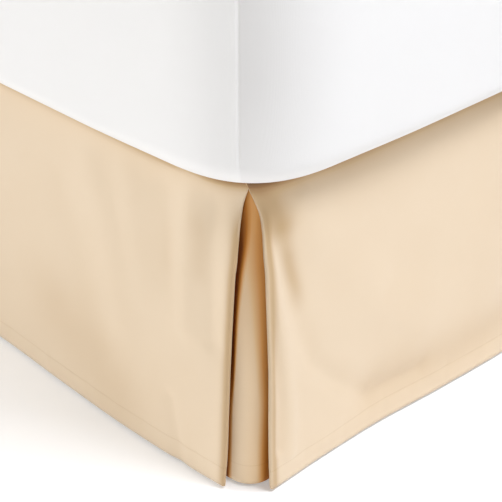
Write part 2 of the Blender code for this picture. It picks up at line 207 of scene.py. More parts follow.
class Wire:
    # one socket, with the maths that the materials use

    def __init__(self, paint, socket):
        self.paint = paint
        self.socket = socket

    def math(self, operation, *values):
        sockets = {i: value for i, value in enumerate(values)}
        return self.paint.add("Math", {"operation": operation}, sockets)

    def __add__(self, other):
        return self.math("ADD", self, other)

    __radd__ = __add__

    def __sub__(self, other):
        return self.math("SUBTRACT", self, other)

    def __rsub__(self, other):
        return self.math("SUBTRACT", other, self)

    def __mul__(self, other):
        return self.math("MULTIPLY", self, other)

    __rmul__ = __mul__

    def __truediv__(self, other):
        return self.math("DIVIDE", self, other)

    def __mod__(self, other):
        return self.math("FLOORED_MODULO", self, other)

    def sine(self):
        return self.math("SINE", self)

    def size(self):
        return self.math("ABSOLUTE", self)

    def line(self, place, width):  # 1 where the value is near a place, 0 elsewhere
        return self.paint.blendRange((self - place).size(), width, width * 0.5, 0.0, 1.0)


class Paint:
    # one material and its nodes

    def __init__(self, name):
        self.material = bpy.data.materials.new(name)
        self.material.use_nodes = True
        self.tree = self.material.node_tree
        self.tree.nodes.clear()

    def add(self, kind, settings=None, sockets=None, output=0):
        node = self.tree.nodes.new("ShaderNode" + kind)
        for key, value in (settings or {}).items():
            if key == "stops":
                while len(node.color_ramp.elements) < len(value):
                    node.color_ramp.elements.new(0.5)
                for element, (place, tone) in zip(node.color_ramp.elements, value):
                    element.position = place
                    element.color = (*tone, 1.0)
            else:
                setattr(node, key, value)
        for key, value in (sockets or {}).items():
            if isinstance(value, Wire):
                self.tree.links.new(value.socket, node.inputs[key])
            else:
                node.inputs[key].default_value = value
        return Wire(self, node.outputs[output])

    def blendRange(self, value, start, end, low, high):
        sockets = {"Value": value, "From Min": start, "From Max": end, "To Min": low, "To Max": high}
        return self.add("MapRange", {"interpolation_type": "SMOOTHSTEP"}, sockets)

    def mix(self, factor, first, second, kind="MIX"):
        sockets = {0: factor, 6: first, 7: second}
        return self.add("Mix", {"data_type": "RGBA", "blend_type": kind}, sockets, output=2)

    def noise(self, place, scale, detail=2.0, roughness=0.5):
        sockets = {"Vector": place, "Scale": scale, "Detail": detail, "Roughness": roughness}
        return self.add("TexNoise", {}, sockets)

    def split(self, vector):
        parts = self.add("SeparateXYZ", {}, {0: vector}).socket.node
        return [Wire(self, output) for output in parts.outputs]

    def stretch(self, vector, scale):
        return self.add("Mapping", {}, {"Vector": vector, "Scale": scale})

    def shaded(self, tone, stops):  # painted shade: the tone darkened by the mesh's shade attribute, for seams, gaps and the depth of a pleat
        shade = self.add("Attribute", {"attribute_name": "shade"}, {}, output=2)
        tint = self.add("ValToRGB", {"stops": stops}, {"Fac": shade})
        return self.mix(1.0, tone, tint, "MULTIPLY")

    def bump(self, height, size):
        sockets = {"Strength": size[0], "Distance": size[1], "Height": height}
        return self.add("Bump", {}, sockets)

    def finish(self, sockets):
        shader = self.add("BsdfPrincipled", {}, sockets)
        out = self.tree.nodes.new("ShaderNodeOutputMaterial")
        self.tree.links.new(shader.socket, out.inputs["Surface"])
        return self.material


def color(r, g, b):
    return (r, g, b, 1.0)


clothLook = {
    "color": color(0.765, 0.620, 0.450),
    "shade": color(0.730, 0.578, 0.404),
    "stitch": color(0.620, 0.460, 0.290),
    # painted shade: what the tone is multiplied by as the painted shade grows
    "dropStops": [(0.0, (1.0, 1.0, 1.0)), (0.15, (0.727, 0.630, 0.482)), (0.3, (0.529, 0.397, 0.232)),
                  (0.5, (0.346, 0.214, 0.088)), (1.0, (0.120, 0.046, 0.008))],
    "pleatStops": [(0.0, (1.0, 1.0, 1.0)), (0.2, (0.95, 0.80, 0.60)), (0.45, (0.84, 0.52, 0.23)),
                   (0.7, (0.56, 0.25, 0.05)), (1.0, (0.15, 0.035, 0.004))],
    "roughness": 0.42,
    "sheen": 0.12,
    "specular": 0.5,
    "ribPitch": 0.0007,
    "stitchPitch": 0.0032,
    "stitchWidth": 0.0007,
    "stitchShare": 0.55,
    "bump": (0.35, 0.00022),  # strength and distance, here and below
}


def skirtClothPaint(name, stops, glossy):  # smooth sateen, with the stitching of its hems and painted shade
    look = clothLook
    paint = Paint(name)
    place = paint.add("UVMap", {"uv_map": "cloth"}, {})
    across, up, _ = paint.split(place)
    broad = paint.noise(place, 9.0, 3.0)
    fine = paint.noise(paint.stretch(place, (1400.0, 900.0, 1.0)), 1.0, 1.0)
    rib = (across * (2 * math.pi / look["ribPitch"])).sine()
    weft = (up * (2 * math.pi / look["ribPitch"] * 0.8)).sine()
    weave = rib * weft
    hemLine = up.line(skirt["hemDepth"], look["stitchWidth"])
    dash = (across % look["stitchPitch"]).line(look["stitchPitch"] * 0.5, look["stitchPitch"] * 0.42)
    stitch = hemLine * dash
    tone = paint.mix(broad, look["color"], look["shade"])
    tone = paint.mix(stitch * look["stitchShare"], tone, look["stitch"])
    # painted shade from the mesh's shade attribute, with the given stops
    tone = paint.shaded(tone, stops)
    height = fine * 0.35 + weave * 0.25 - hemLine * 2.2 + stitch * 1.2
    normal = paint.bump(height, look["bump"])
    roughness = look["roughness"] + broad * 0.06
    return paint.finish({
        "Base Color": tone, "Roughness": roughness, "Normal": normal,
        "Sheen Weight": look["sheen"] * glossy, "Sheen Roughness": 0.4,
        "Specular IOR Level": look["specular"] * glossy,
    })


sheetLook = {
    "color": color(0.836, 0.828, 0.818),
    "shade": color(0.808, 0.800, 0.790),
    # what the tone is multiplied by under the painted shade beside the corner seams
    "stops": [(0.0, (1.0, 1.0, 1.0)), (1.0, (0.865, 0.86, 0.86))],
    "roughness": 0.72,
    "threadPitch": 0.0009,
    "bump": (0.3, 0.0003),
}


def fittedSheetPaint():  # plain woven white cotton, with painted shade beside its corner seams
    look = sheetLook
    paint = Paint("fittedSheet")
    place = paint.add("TexCoord", {}, {}, output=3)
    broad = paint.noise(place, 6.0, 3.0)
    x, y, z = paint.split(place)
    turn = 2 * math.pi / look["threadPitch"]
    weave = (x * turn).sine() * (y * turn).sine() + (z * turn).sine() * 0.6
    fine = paint.noise(place, 260.0, 2.0)
    # painted shade from the mesh's shade attribute
    tone = paint.shaded(paint.mix(broad, look["color"], look["shade"]), look["stops"])
    height = weave * 0.3 + fine * 0.8
    normal = paint.bump(height, look["bump"])
    return paint.finish({
        "Base Color": tone, "Roughness": look["roughness"] + broad * 0.08, "Normal": normal,
        "Sheen Weight": 0.15, "Sheen Roughness": 0.5,
    })


deckLook = {
    "color": color(0.720, 0.600, 0.440),
    "shade": color(0.660, 0.540, 0.385),
    "roughness": 0.8,
    "bump": (0.4, 0.0003),
}


def deckClothPaint():
    look = deckLook
    paint = Paint("deckCloth")
    place = paint.add("TexCoord", {}, {}, output=3)
    broad = paint.noise(place, 8.0, 3.0)
    fine = paint.noise(paint.stretch(place, (900.0, 900.0, 200.0)), 1.0, 2.0)
    tone = paint.mix(broad, look["color"], look["shade"])
    normal = paint.bump(fine, look["bump"])
    return paint.finish({"Base Color": tone, "Roughness": look["roughness"] + fine * 0.05,
                         "Normal": normal})


baseLook = {
    "color": color(0.620, 0.595, 0.560),
    "shade": color(0.520, 0.495, 0.460),
    "roughness": 0.85,
    "pitch": 0.0022,
    "bump": (0.5, 0.0006),
}


def baseCoverPaint():  # a coarse plain weave
    look = baseLook
    paint = Paint("baseCover")
    place = paint.add("TexCoord", {}, {}, output=3)
    x, y, z = paint.split(place)
    turn = 2 * math.pi / look["pitch"]
    weave = ((x + y) * turn).sine() * (z * turn).sine()
    broad = paint.noise(place, 14.0, 4.0)
    tone = paint.mix(weave * 0.25 + broad * 0.6, look["color"], look["shade"])
    normal = paint.bump(weave + broad, look["bump"])
    return paint.finish({"Base Color": tone, "Roughness": look["roughness"] + weave * 0.04,
                         "Normal": normal})


woodLook = {
    "stops": [(0.0, (0.115, 0.058, 0.030)), (0.5, (0.230, 0.130, 0.070)), (1.0, (0.300, 0.180, 0.100))],
    "roughness": 0.38,
    "bump": (0.25, 0.0004),
}


def legWoodPaint():
    look = woodLook
    paint = Paint("legWood")
    place = paint.add("TexCoord", {}, {}, output=3)
    grain = paint.noise(paint.stretch(place, (90.0, 90.0, 6.0)), 1.0, 5.0, 0.6)
    tone = paint.add("ValToRGB", {"stops": look["stops"]}, {"Fac": grain})
    normal = paint.bump(grain, look["bump"])
    return paint.finish({"Base Color": tone, "Roughness": look["roughness"] + grain * 0.12,
                         "Normal": normal, "Coat Weight": 0.2, "Coat Roughness": 0.25})


# The drops


# how far out the hem stands, by its place along the face
hemFoot = [
    (0.00, 0.014), (0.1, 0.0205), (0.21, 0.023), (0.33, 0.02), (0.47, 0.015), (0.62, 0.0205),
    (0.8, 0.017), (0.98, 0.0215), (1.14, 0.0165), (1.31, 0.0205), (1.48, 0.015),
]
hemRight = [
    (0.00, 0.014), (0.11, 0.0095), (0.21, 0.011), (0.32, 0.0185), (0.45, 0.0215), (0.62, 0.0145),
    (0.8, 0.0205), (1.00, 0.016), (1.2, 0.0215), (1.42, 0.015), (1.62, 0.0205), (1.8, 0.0165),
    (1.96, 0.019),
]
hemLeft = [
    (0.00, 0.015), (0.13, 0.0195), (0.27, 0.0125), (0.43, 0.02), (0.61, 0.016), (0.78, 0.0215),
    (0.97, 0.015), (1.15, 0.0205), (1.36, 0.017), (1.55, 0.0215), (1.76, 0.0155), (1.96, 0.0185),
]

# folded edges: down from the deck, along from its sharp corner, half the gap that the solid leaves
edgeFoot = [
    (0.000, 0.0228, 0.0015), (0.01, 0.0248, 0.0016), (0.02, 0.027, 0.0017),
    (0.03, 0.028, 0.0018), (0.04, 0.0281, 0.0019), (0.052, 0.0275, 0.002),
    (0.067, 0.0257, 0.0021), (0.085, 0.0239, 0.0024), (0.106, 0.0249, 0.0027),
    (0.18, 0.0272, 0.0028), (0.276, 0.0285, 0.0028), (0.322, 0.0288, 0.0025),
    (0.358, 0.0298, 0.002), (0.381, 0.0304, 0.0016),
]
edgeSide = [
    (0.000, 0.0162, 0.0015), (0.01, 0.0192, 0.0016), (0.02, 0.0229, 0.0019),
    (0.03, 0.0262, 0.0021), (0.04, 0.0278, 0.0023), (0.052, 0.0268, 0.0027),
    (0.067, 0.0242, 0.0033), (0.085, 0.0225, 0.0038), (0.106, 0.0228, 0.0043),
    (0.161, 0.024, 0.0044), (0.218, 0.023, 0.0044), (0.276, 0.0212, 0.0043),
    (0.321, 0.0206, 0.0041), (0.359, 0.0206, 0.003), (0.381, 0.0212, 0.0018),
]
pleatDepth = [
    (0.000, 0.0058), (0.05, 0.0095), (0.1, 0.013), (0.18, 0.0155), (0.28, 0.0162),
    (0.381, 0.0165),
]  # how far behind the drops the pleat stands, by the way down from the deck

# folds in a drop: the line of each crest or trough as (along, height), its width and how far out
foldsFoot = [
    ([(0.094, 0.365), (0.096, 0.27), (0.094, 0.19)], 0.015, 0.0034),
    ([(0.058, 0.36), (0.056, 0.27), (0.052, 0.19)], 0.014, -0.0034),
    ([(0.195, 0.34), (0.178, 0.27), (0.166, 0.2)], 0.02, 0.002),
    ([(0.132, 0.345), (0.13, 0.24)], 0.016, -0.0018),
    ([(0.262, 0.33), (0.228, 0.25), (0.198, 0.15)], 0.024, 0.0026),
    ([(0.315, 0.29), (0.275, 0.2), (0.235, 0.1)], 0.026, -0.0026),
    ([(0.118, 0.085), (0.1, 0.01)], 0.011, -0.0022),
    ([(0.47, 0.34), (0.505, 0.12)], 0.045, 0.003),
    ([(0.69, 0.35), (0.67, 0.09)], 0.04, -0.0028),
    ([(0.9, 0.34), (0.86, 0.08)], 0.05, 0.0032),
    ([(1.09, 0.35), (1.11, 0.12)], 0.038, -0.003),
    ([(1.27, 0.33), (1.23, 0.1)], 0.04, 0.003),
    ([(1.4, 0.34), (1.385, 0.15)], 0.016, -0.0026),
]
foldsRight = [
    ([(0.034, 0.36), (0.044, 0.297), (0.056, 0.236), (0.087, 0.147), (0.135, 0.095),
      (0.188, 0.05), (0.276, 0.048)], 0.014, -0.0042),
    ([(0.014, 0.355), (0.022, 0.318), (0.033, 0.252), (0.044, 0.182), (0.052, 0.111),
      (0.052, 0.042)], 0.01, 0.003),
    ([(0.07, 0.34), (0.11, 0.3), (0.15, 0.246), (0.193, 0.183), (0.271, 0.115)],
     0.036, 0.0036),
    ([(0.3, 0.19), (0.226, 0.212)], 0.03, -0.0022),
    ([(0.022, 0.318), (0.027, 0.252), (0.032, 0.182), (0.036, 0.111), (0.034, 0.052)],
     0.0058, -0.0042),
    ([(0.044, 0.372), (0.052, 0.325), (0.062, 0.28)], 0.022, -0.0026),
    ([(0.17, 0.185), (0.46, 0.175)], 0.07, 0.005),
    ([(0.19, 0.05), (0.335, 0.042), (0.48, 0.056)], 0.036, -0.005),
    ([(0.43, 0.35), (0.4, 0.12)], 0.04, 0.003),
    ([(0.6, 0.34), (0.64, 0.09)], 0.045, -0.0032),
    ([(0.82, 0.35), (0.79, 0.1)], 0.048, 0.003),
    ([(1.02, 0.34), (1.05, 0.09)], 0.04, -0.0028),
    ([(1.24, 0.35), (1.2, 0.08)], 0.05, 0.0034),
    ([(1.44, 0.34), (1.45, 0.11)], 0.042, -0.003),
    ([(1.66, 0.35), (1.62, 0.1)], 0.046, 0.003),
    ([(1.84, 0.33), (1.86, 0.12)], 0.036, -0.0026),
]
foldsLeft = [
    ([(0.05, 0.35), (0.064, 0.25), (0.085, 0.14)], 0.015, -0.0038),
    ([(0.1, 0.345), (0.13, 0.2), (0.125, 0.07)], 0.026, 0.0032),
    ([(0.21, 0.34), (0.25, 0.11)], 0.034, -0.003),
    ([(0.39, 0.35), (0.42, 0.1)], 0.042, 0.003),
    ([(0.59, 0.34), (0.56, 0.11)], 0.04, -0.0028),
    ([(0.79, 0.35), (0.83, 0.09)], 0.05, 0.0034),
    ([(1.01, 0.34), (0.98, 0.1)], 0.044, -0.003),
    ([(1.19, 0.35), (1.22, 0.11)], 0.04, 0.0028),
    ([(1.41, 0.34), (1.38, 0.08)], 0.048, -0.0032),
    ([(1.62, 0.35), (1.65, 0.1)], 0.044, 0.003),
    ([(1.83, 0.33), (1.81, 0.12)], 0.034, -0.0024),
]

# small puckers that the hem's stitching draws up, by their places along each face
puckersFoot = [
    0.071, 0.108, 0.16, 0.205, 0.264, 0.35, 0.432, 0.54, 0.655, 0.752, 0.861, 0.944, 1.06, 1.148,
    1.239, 1.33, 1.402,
]
puckersRight = [
    0.074, 0.105, 0.141, 0.176, 0.213, 0.27, 0.322, 0.395, 0.47, 0.556, 0.64, 0.742, 0.833, 0.94,
    1.03, 1.126, 1.231, 1.33, 1.452, 1.54, 1.655, 1.76, 1.862,
]
puckersLeft = [
    0.068, 0.12, 0.172, 0.24, 0.331, 0.402, 0.497, 0.59, 0.688, 0.79, 0.871, 0.98, 1.075, 1.166,
    1.28, 1.371, 1.48, 1.59, 1.702, 1.796, 1.88,
]

# darker strokes on a drop, as folds are given but with how dark, and the share that each end fades in
shadowsFoot = [
    ([(0.112, 0.33), (0.11, 0.21)], 0.012, 0.02, 0.4),
    ([(0.32, 0.11), (0.21, 0.055)], 0.055, 0.045),
    ([(0.056, 0.35), (0.054, 0.24)], 0.013, 0.035, 0.3),
]
shadowsSide = [
    ([(0.002, 0.385), (0.012, 0.35), (0.019, 0.33)], 0.017, 0.13),
    ([(0.018, 0.345), (0.033, 0.292), (0.043, 0.25), (0.052, 0.205)], 0.01,
     0.12, 0.45),
    ([(0.2, 0.062), (0.335, 0.05), (0.48, 0.062)], 0.034, 0.05),
]

# painted shade along a drop's folded edge: how dark, where, how wide, and how far down the rolled edge
# itself stays lighter
stripShadeFoot = {"dark": 0.19, "at": -0.002, "width": 0.0080, "litDownTo": 0.045}
stripShadeSide = {"dark": 0.17, "at": 0.0025, "width": 0.0052, "litDownTo": 1.0}

# each face starts at a foot corner of the deck line and runs along it; out points off the bed
# tuck is how far it is drawn in under the mattress, lap how far its flap lies over the other's
# gloom is its share of the wide painted shade, and strip the painted shade, a darker line along its
# folded edge
flank = {
    "along": Vector((0, 1, 0)), "length": sideLength, "edges": (edgeSide, None), "tuck": 0.0085,
    "lap": 0.0022, "gloom": 1.0, "strip": stripShadeSide, "shadows": shadowsSide,
}
faces = {
    "foot": {
        "corner": Vector((deckHigh.x, deckLow.y, 0.0)), "along": Vector((-1, 0, 0)),
        "out": Vector((0, -1, 0)), "length": deckWidth, "edges": (edgeFoot, edgeFoot),
        "hem": hemFoot, "folds": foldsFoot, "puckers": puckersFoot, "tuck": 0.0045, "lap": -0.0020,
        "gloom": 0.15, "strip": stripShadeFoot, "shadows": shadowsFoot,
    },
    "right": {
        **flank, "corner": Vector((deckHigh.x, deckLow.y, 0.0)), "out": Vector((1, 0, 0)),
        "hem": hemRight, "folds": foldsRight, "puckers": puckersRight,
    },
    "left": {
        **flank, "corner": Vector((deckLow.x, deckLow.y, 0.0)), "out": Vector((-1, 0, 0)),
        "hem": hemLeft, "folds": foldsLeft, "puckers": puckersLeft,
    },
}


def cornerInset(distance, radius):  # how far a round corner lies inside the sharp one
    across = radius - np.clip(distance, 0.0, radius)
    return radius - np.sqrt(radius * radius - across * across)


def flare(face, along, down):  # the hang of a drop before its folds
    fall = readCurve(face["hem"], along) * (down / deckTop) ** skirt["flarePower"]
    return fall - skirt["cloth"] / 2


def drawnIn(face, down):  # how far a drop is drawn in under the mattress
    return face["tuck"] * (1.0 - ease(down / skirt["tuckFade"]))


def edgeRadius(edge, down):  # what a folded edge turns with
    return np.minimum(readCurve(edge, down, 2), skirt["edgeRadius"])


def panelPoint(face, column, down, folded=True):  # the drop's outer panel in its face's plan
    first, last = face["edges"]
    length = face["length"]
    along = column
    tuck = drawnIn(face, down)
    lap = face["lap"] * (1.0 - ease(down / skirt["lapFade"]))
    if first:
        edge = readCurve(first, down) + edgeRadius(first, down) + tuck - lap
        along = along + edge * np.exp(-column / skirt["edgeReach"])
    if last:
        edge = readCurve(last, down) + edgeRadius(last, down) + tuck - lap
        along = along - edge * np.exp(-(length - column) / skirt["edgeReach"])
    rounded = 1.0 - ease(down / skirt["cornerFade"])
    out = flare(face, along, down) - tuck - rounded * cornerInset(along, skirt["cornerRadius"])
    out = out + lap * bump(column, skirt["lapReach"])
    if last:
        out = out + lap * bump(length - column, skirt["lapReach"])
        out = out - rounded * cornerInset(length - along, skirt["cornerRadius"])
    if folded:
        out = out + allFolds(face, along, down) + puckerLift(face, along, down)
    return np.stack([along, out], axis=-1)


def allFolds(face, along, down):
    return foldLift(face["folds"], along, deckTop - down) * ease(down / skirt["foldStart"])


pucker = {
    "out": 0.0005,
    "in": 0.0006,
    "width": 0.007,
    "height": 0.012,
    "slant": 0.15,
    "hemStep": 0.0003,
}


def puckerLift(face, along, down):  # by turns out and in, and the hem's own thickness
    height = deckTop - skirt["topBelowDeck"] - down - skirt["hemAboveFloor"]
    near = bump(height - skirt["hemDepth"] * 0.9, pucker["height"])
    lift = np.zeros(np.shape(along))
    for i, place in enumerate(face["puckers"]):
        away = along - place - height * pucker["slant"]
        lift += (pucker["out"] if i % 2 else -pucker["in"]) * bump(away, pucker["width"])
    hemStep = pucker["hemStep"] * ease((skirt["hemDepth"] - height) / 0.002 + 0.5)
    return lift * near + hemStep


def outward(face, column, down):  # the panel's heading and its outward way in plan
    step = 0.0005
    before = panelPoint(face, column - step, down, folded=False)
    heading = panelPoint(face, column + step, down, folded=False) - before
    heading = heading / np.linalg.norm(heading, axis=-1, keepdims=True)
    return heading, np.stack([-heading[..., 1], heading[..., 0]], axis=-1)


def dropPlan(face, column, down):  # return, rolled edge and panel of a drop in plan
    length = face["length"]
    plan = panelPoint(face, np.clip(column, 0.0, length), down)
    for sign, start, edge in ((1.0, 0.0, face["edges"][0]), (-1.0, length, face["edges"][1])):
        if not edge:
            continue
        beyond = sign * (start - column)
        turn = np.clip(beyond / skirt["rollSpan"], 0.0, 1.0)
        back = np.maximum(beyond - skirt["rollSpan"], 0.0)
        radius = edgeRadius(edge, down)[:, None]
        atStart = np.full(np.shape(down), start)
        heading, away = outward(face, atStart, down)
        inner = panelPoint(face, atStart, down) - 2.0 * radius * away
        outer = panelPoint(face, atStart, down)
        angle = (math.pi * turn)[:, None]
        rolled = (inner + outer) / 2 + (outer - inner) / 2 * np.cos(angle)
        rolled = rolled - sign * heading * radius * np.sin(angle)
        behind = atStart + sign * back
        _, awayBehind = outward(face, behind, down)
        lying = panelPoint(face, behind, down) - 2.0 * radius * awayBehind
        plan = np.where((beyond > 0)[:, None], rolled + lying - inner, plan)
    return plan


def seamTurn(row, share, lift):  # rows run up the cloth from its hem: their height, and how far in
    # share is how much of the turn over the deck is made, none where an edge is folded,
    # and lift how much higher than the deck the top may reach under the mattress's round corner
    radius, lap = skirt["seamRadius"], skirt["seamLap"]
    top = deckTop - skirt["cloth"] / 2
    straight = top - radius - skirt["hemAboveFloor"]
    whole = radius * math.pi / 2 + lap
    above = np.maximum(row - straight, 0.0)
    angle = np.clip(above / radius, 0.0, math.pi / 2)
    flat = np.maximum(above - radius * math.pi / 2, 0.0)
    upright = skirt["hemAboveFloor"] + np.minimum(row, straight)
    turned = upright + radius * np.sin(angle)
    inset = radius * (1.0 - np.cos(angle)) + flat
    plain = upright + above / whole * (radius + skirt["cloth"] / 2)
    return plain + (turned - plain) * share + lift * above / whole, inset * share


steps = {  # of the drops' grids, in metres
    "hemRow": 0.0046,
    "stitchRow": 0.001,
    "stitchReach": 0.002,
    "row": 0.0047,
    "turnRow": 0.0011,
    "lapRow": 0.004,
    "return": 0.008,
    "roll": 0.0012,
    "fine": 0.0036,
    "fineReach": 0.36,
    "coarse": 0.0066,
    "end": 0.003,
    "endReach": 0.024,
}


def dropRows():
    straight = deckTop - skirt["cloth"] / 2 - skirt["seamRadius"] - skirt["hemAboveFloor"]
    turned = straight + skirt["seamRadius"] * math.pi / 2
    below, above = skirt["hemDepth"] - steps["stitchReach"], skirt["hemDepth"] + steps["stitchReach"]
    return ticks([(0.0, below, steps["hemRow"]), (below, above, steps["stitchRow"]),
                  (above, straight, steps["row"]), (straight, turned, steps["turnRow"]),
                  (turned, turned + skirt["seamLap"], steps["lapRow"])])


def dropColumns(face):
    length, roll, back = face["length"], skirt["rollSpan"], skirt["returnWidth"]
    fine, end = steps["fineReach"], steps["endReach"]
    zones = [(-roll - back, -roll, steps["return"]), (-roll, 0.0, steps["roll"]),
             (0.0, fine, steps["fine"])]
    if face["edges"][1]:
        zones += [(fine, length - fine, steps["coarse"]), (length - fine, length, steps["fine"]),
                  (length, length + roll, steps["roll"]),
                  (length + roll, length + roll + back, steps["return"])]
    else:
        zones += [(fine, length - end, steps["coarse"]), (length - end, length, steps["end"])]
    return ticks(zones)


gloom = {  # how dark the cloth is drawn where little light comes, and how fast that fades
    "under": 0.15,  # right below the mattress
    "underFade": 0.0024,
    "wide": 0.20,
    "wideFade": 0.015,
    "corner": 0.30,  # more of it beside the pleat
    "cornerWidth": 0.048,
    "cornerFade": 0.0055,
    "roll": 0.075,  # on a folded edge itself, where it is lit
    "rollAt": -0.0030,
    "rollFade": 0.002,
    "litFade": 0.020,
    "stripFrom": 0.015,  # the strip beside a folded edge starts below the deck
    "stripFade": 0.045,
    "seenFrom": 0.0010,  # how far below the deck the mattress's edge lets the cloth be seen
    "seenLater": 0.0078,  # and how much further away from the corner
    "laterFrom": 0.030,
    "laterOver": 0.120,
}


# painted shade on a drop: under the mattress, beside the pleat, along folded edges and in the shadow
# strokes, lighter on the rolled edge
def dropShade(face, column, row):
    below = np.maximum(deckTop - skirt["topBelowDeck"] - skirt["hemAboveFloor"] - row, 0.0)
    fromEdge = column
    if face["edges"][1]:
        fromEdge = np.minimum(column, face["length"] - column)
    later = ease((fromEdge - gloom["laterFrom"]) / gloom["laterOver"])
    seen = np.maximum(below - gloom["seenFrom"] - gloom["seenLater"] * later, 0.0)
    under = gloom["under"] * np.exp(-seen / gloom["underFade"])
    wide = face["gloom"] * gloom["wide"] * np.exp(-seen / gloom["wideFade"])
    corner = gloom["corner"] * np.exp(-seen / gloom["cornerFade"])
    corner = corner * bump(fromEdge, gloom["cornerWidth"])
    strip = face["strip"]
    beside = strip["dark"] * bump(fromEdge - strip["at"], strip["width"])
    beside = beside * ease((below - gloom["stripFrom"]) / gloom["stripFade"])
    strokes = foldLift(face["shadows"], fromEdge, row + skirt["hemAboveFloor"])
    offRoll = ease((fromEdge - gloom["rollAt"]) / gloom["rollFade"])
    shaded = offRoll + (1.0 - offRoll) * ease((below - strip["litDownTo"]) / gloom["litFade"])
    return (under + wide + corner + beside + strokes) * shaded + gloom["roll"] * (1.0 - shaded)


def makeDrop(side, material):
    face = faces[side]

    def place(column, row):
        share = ease(column / skirt["turnStart"])
        nearCorner = bump(np.maximum(column, 0.0), skirt["liftReach"])
        if face["edges"][1]:
            fromFar = face["length"] - column
            share = share * ease(fromFar / skirt["turnStart"])
            nearCorner = nearCorner + bump(np.maximum(fromFar, 0.0), skirt["liftReach"])
        height, inset = seamTurn(row, share, skirt["cornerLift"] * nearCorner)
        down = np.maximum(deckTop - skirt["topBelowDeck"] - height, 0.0)
        plan = dropPlan(face, column, down)
        _, away = outward(face, np.clip(column, 0.0, face["length"]), down)
        plan = plan - away * inset[:, None]
        points = np.array(face["corner"]) + plan[:, :1] * np.array(face["along"])
        points = points + plan[:, 1:] * np.array(face["out"])
        points[:, 2] = height
        return points

    columns, rows = dropColumns(face), dropRows()
    piece = clothSheet(side + "Drop", columns, rows, place, material)
    writeShade(piece, dropShade(face, np.tile(columns, len(rows)), np.repeat(rows, len(columns))))
    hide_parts("drop_" + side)
    ends = 2 if face["edges"][1] else 1
    width = face["length"] + ends * (skirt["returnWidth"] + skirt["rollSpan"])
    print("made the", side, "drop")
    return piece


# The corner pleats


pleat = {
    "flat": (0.17, 0.43),
    "reach": 0.088,
    "gap": 0.0012,
    "sewnFrom": 0.045,
    "sewnOver": 0.035,
    "topRadius": 0.070,
    "cornerAtHem": 0.028,
    "cornerFade": 0.250,
    "armColumns": 16,
    "turnColumns": 32,
    "uvWidth": 0.06,  # of each of its three parts
    # by height, where across the pleat the foot drop's edge is seen, and how dark the gap beside it is
    "gapLine": [(0.000, 0.308, 0.95), (0.045, 0.320, 0.75), (0.112, 0.336, 0.80), (0.200, 0.408, 1.05),
                (0.274, 0.467, 0.98), (0.305, 0.484, 0.88), (0.345, 0.491, 0.64)],
    "gapFade": 0.034,
    # the same for the side drop's edge, and the painted shade's own strengths and widths
    "flapLine": [(0.000, 0.650, 1.3), (0.050, 0.650, 1.2), (0.112, 0.655, 1.0), (0.200, 0.600, 0.95),
                 (0.274, 0.565, 0.95), (0.310, 0.555, 0.85), (0.345, 0.545, 0.72)],
    "flapShades": [(0.44, 0.10), (0.12, 0.30)],
    # painted shade that darkens the pleat toward its top
    "topDark": 0.10,
    "topFrom": 0.26,
    "topOver": 0.08,
}


def pleatBack(edge, along, down):  # how far the pleat lies behind the panel in front of it
    deepest = readCurve(pleatDepth, down)
    sewn = 2.0 * readCurve(edge, down, 2) + skirt["cloth"] + pleat["gap"]
    joined = ease((along - pleat["sewnFrom"]) / pleat["sewnOver"])
    return deepest + (np.minimum(sewn, deepest) - deepest) * joined


def pleatOut(face, along, down, atFarEnd):  # where it is sewn on it follows the panel's folds
    spot = face["length"] - along if atFarEnd else along
    joined = ease((along - pleat["sewnFrom"]) / pleat["sewnOver"])
    panel = flare(face, spot, down) - drawnIn(face, down) + allFolds(face, spot, down) * joined
    return panel - pleatBack(face["edges"][0], along, down)


def pleatShade(mesh, columns):  # painted shade, deepest in the gap and beside the side drop's flap, and darker toward the top
    across = columns[np.arange(len(mesh.vertices)) % len(columns)] / 3.0
    height = np.array([vert.co.z for vert in mesh.vertices])
    gapAt = readCurve(pleat["gapLine"], height)
    flapAt = readCurve(pleat["flapLine"], height)
    gap = 1.0 - ease((across - gapAt) / pleat["gapFade"] + 0.5)
    gap = gap * readCurve(pleat["gapLine"], height, 2)
    near = sum(dark * ease((across - flapAt) / width + 1.0) for dark, width in pleat["flapShades"])
    near = near * readCurve(pleat["flapLine"], height, 2)
    top = pleat["topDark"] * ease((height - pleat["topFrom"]) / pleat["topOver"])
    return gap + near * (1.0 - gap) + top


